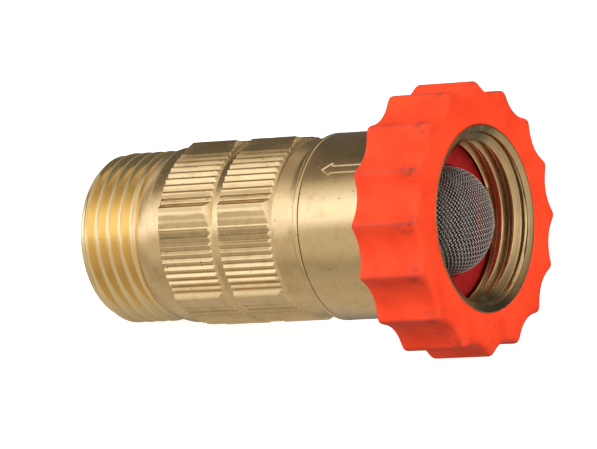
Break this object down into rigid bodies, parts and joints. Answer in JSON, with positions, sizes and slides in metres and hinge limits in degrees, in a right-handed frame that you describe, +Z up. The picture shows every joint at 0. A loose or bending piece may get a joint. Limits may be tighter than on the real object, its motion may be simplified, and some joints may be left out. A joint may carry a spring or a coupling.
{
  "type": "water pressure regulator",
  "caption": "In-line brass piston water pressure regulator with a male hose thread at the outlet and a swivel nut with a moulded grip at the inlet.",
  "frame": {"origin": "on the flow axis, at the middle of the part's length", "axes": "+X along the flow axis from the outlet thread to the swivel inlet nut, +Z up"},
  "size_m": [0.0673, 0.0424, 0.0424],
  "materials": {
    "brass_body": "turned, unpolished, slightly dull",
    "brass_nut": "turned, dull",
    "brass_stem": "fine turned",
    "red_grip": "satin moulded",
    "red_rubber": "matt",
    "black_rubber": "matt",
    "stainless": "drawn wire",
    "steel": "zinc plated",
    "acetal": "smooth natural"
  },
  "bodies": {
    "housing": {"outlet_housing": "brass_body", "inlet_housing": "brass_body", "housing_oring": "black_rubber", "stem_bush": "acetal", "stem_oring": "black_rubber", "gland_washer": "steel", "seat_carrier": "acetal", "seat_disc": "black_rubber", "carrier_clip": "steel", "nut_retaining_ring": "steel", "inlet_washer": "red_rubber", "screen_rim": "stainless", "screen_mesh": "stainless"},
    "piston": {"piston_head": "acetal", "piston_stem": "brass_stem", "piston_oring": "black_rubber", "spring_washer": "steel", "piston_spring": "steel"},
    "nut": {"swivel_nut": "brass_nut", "nut_grip": "red_grip"}
  },
  "joints": [
    {"name": "nut_swivel", "type": "hinge", "parent": "housing", "child": "nut", "pos_m": [0.02335, 0, 0], "axis": [1, 0, 0], "continuous": true},
    {"name": "piston_slide", "type": "slide", "parent": "housing", "child": "piston", "axis": [1, 0, 0], "range_m": [0, 0.0022], "stiffness_N_per_m": 1500, "springref_m": -0.0005, "deforming": ["piston_spring"]}
  ]
}
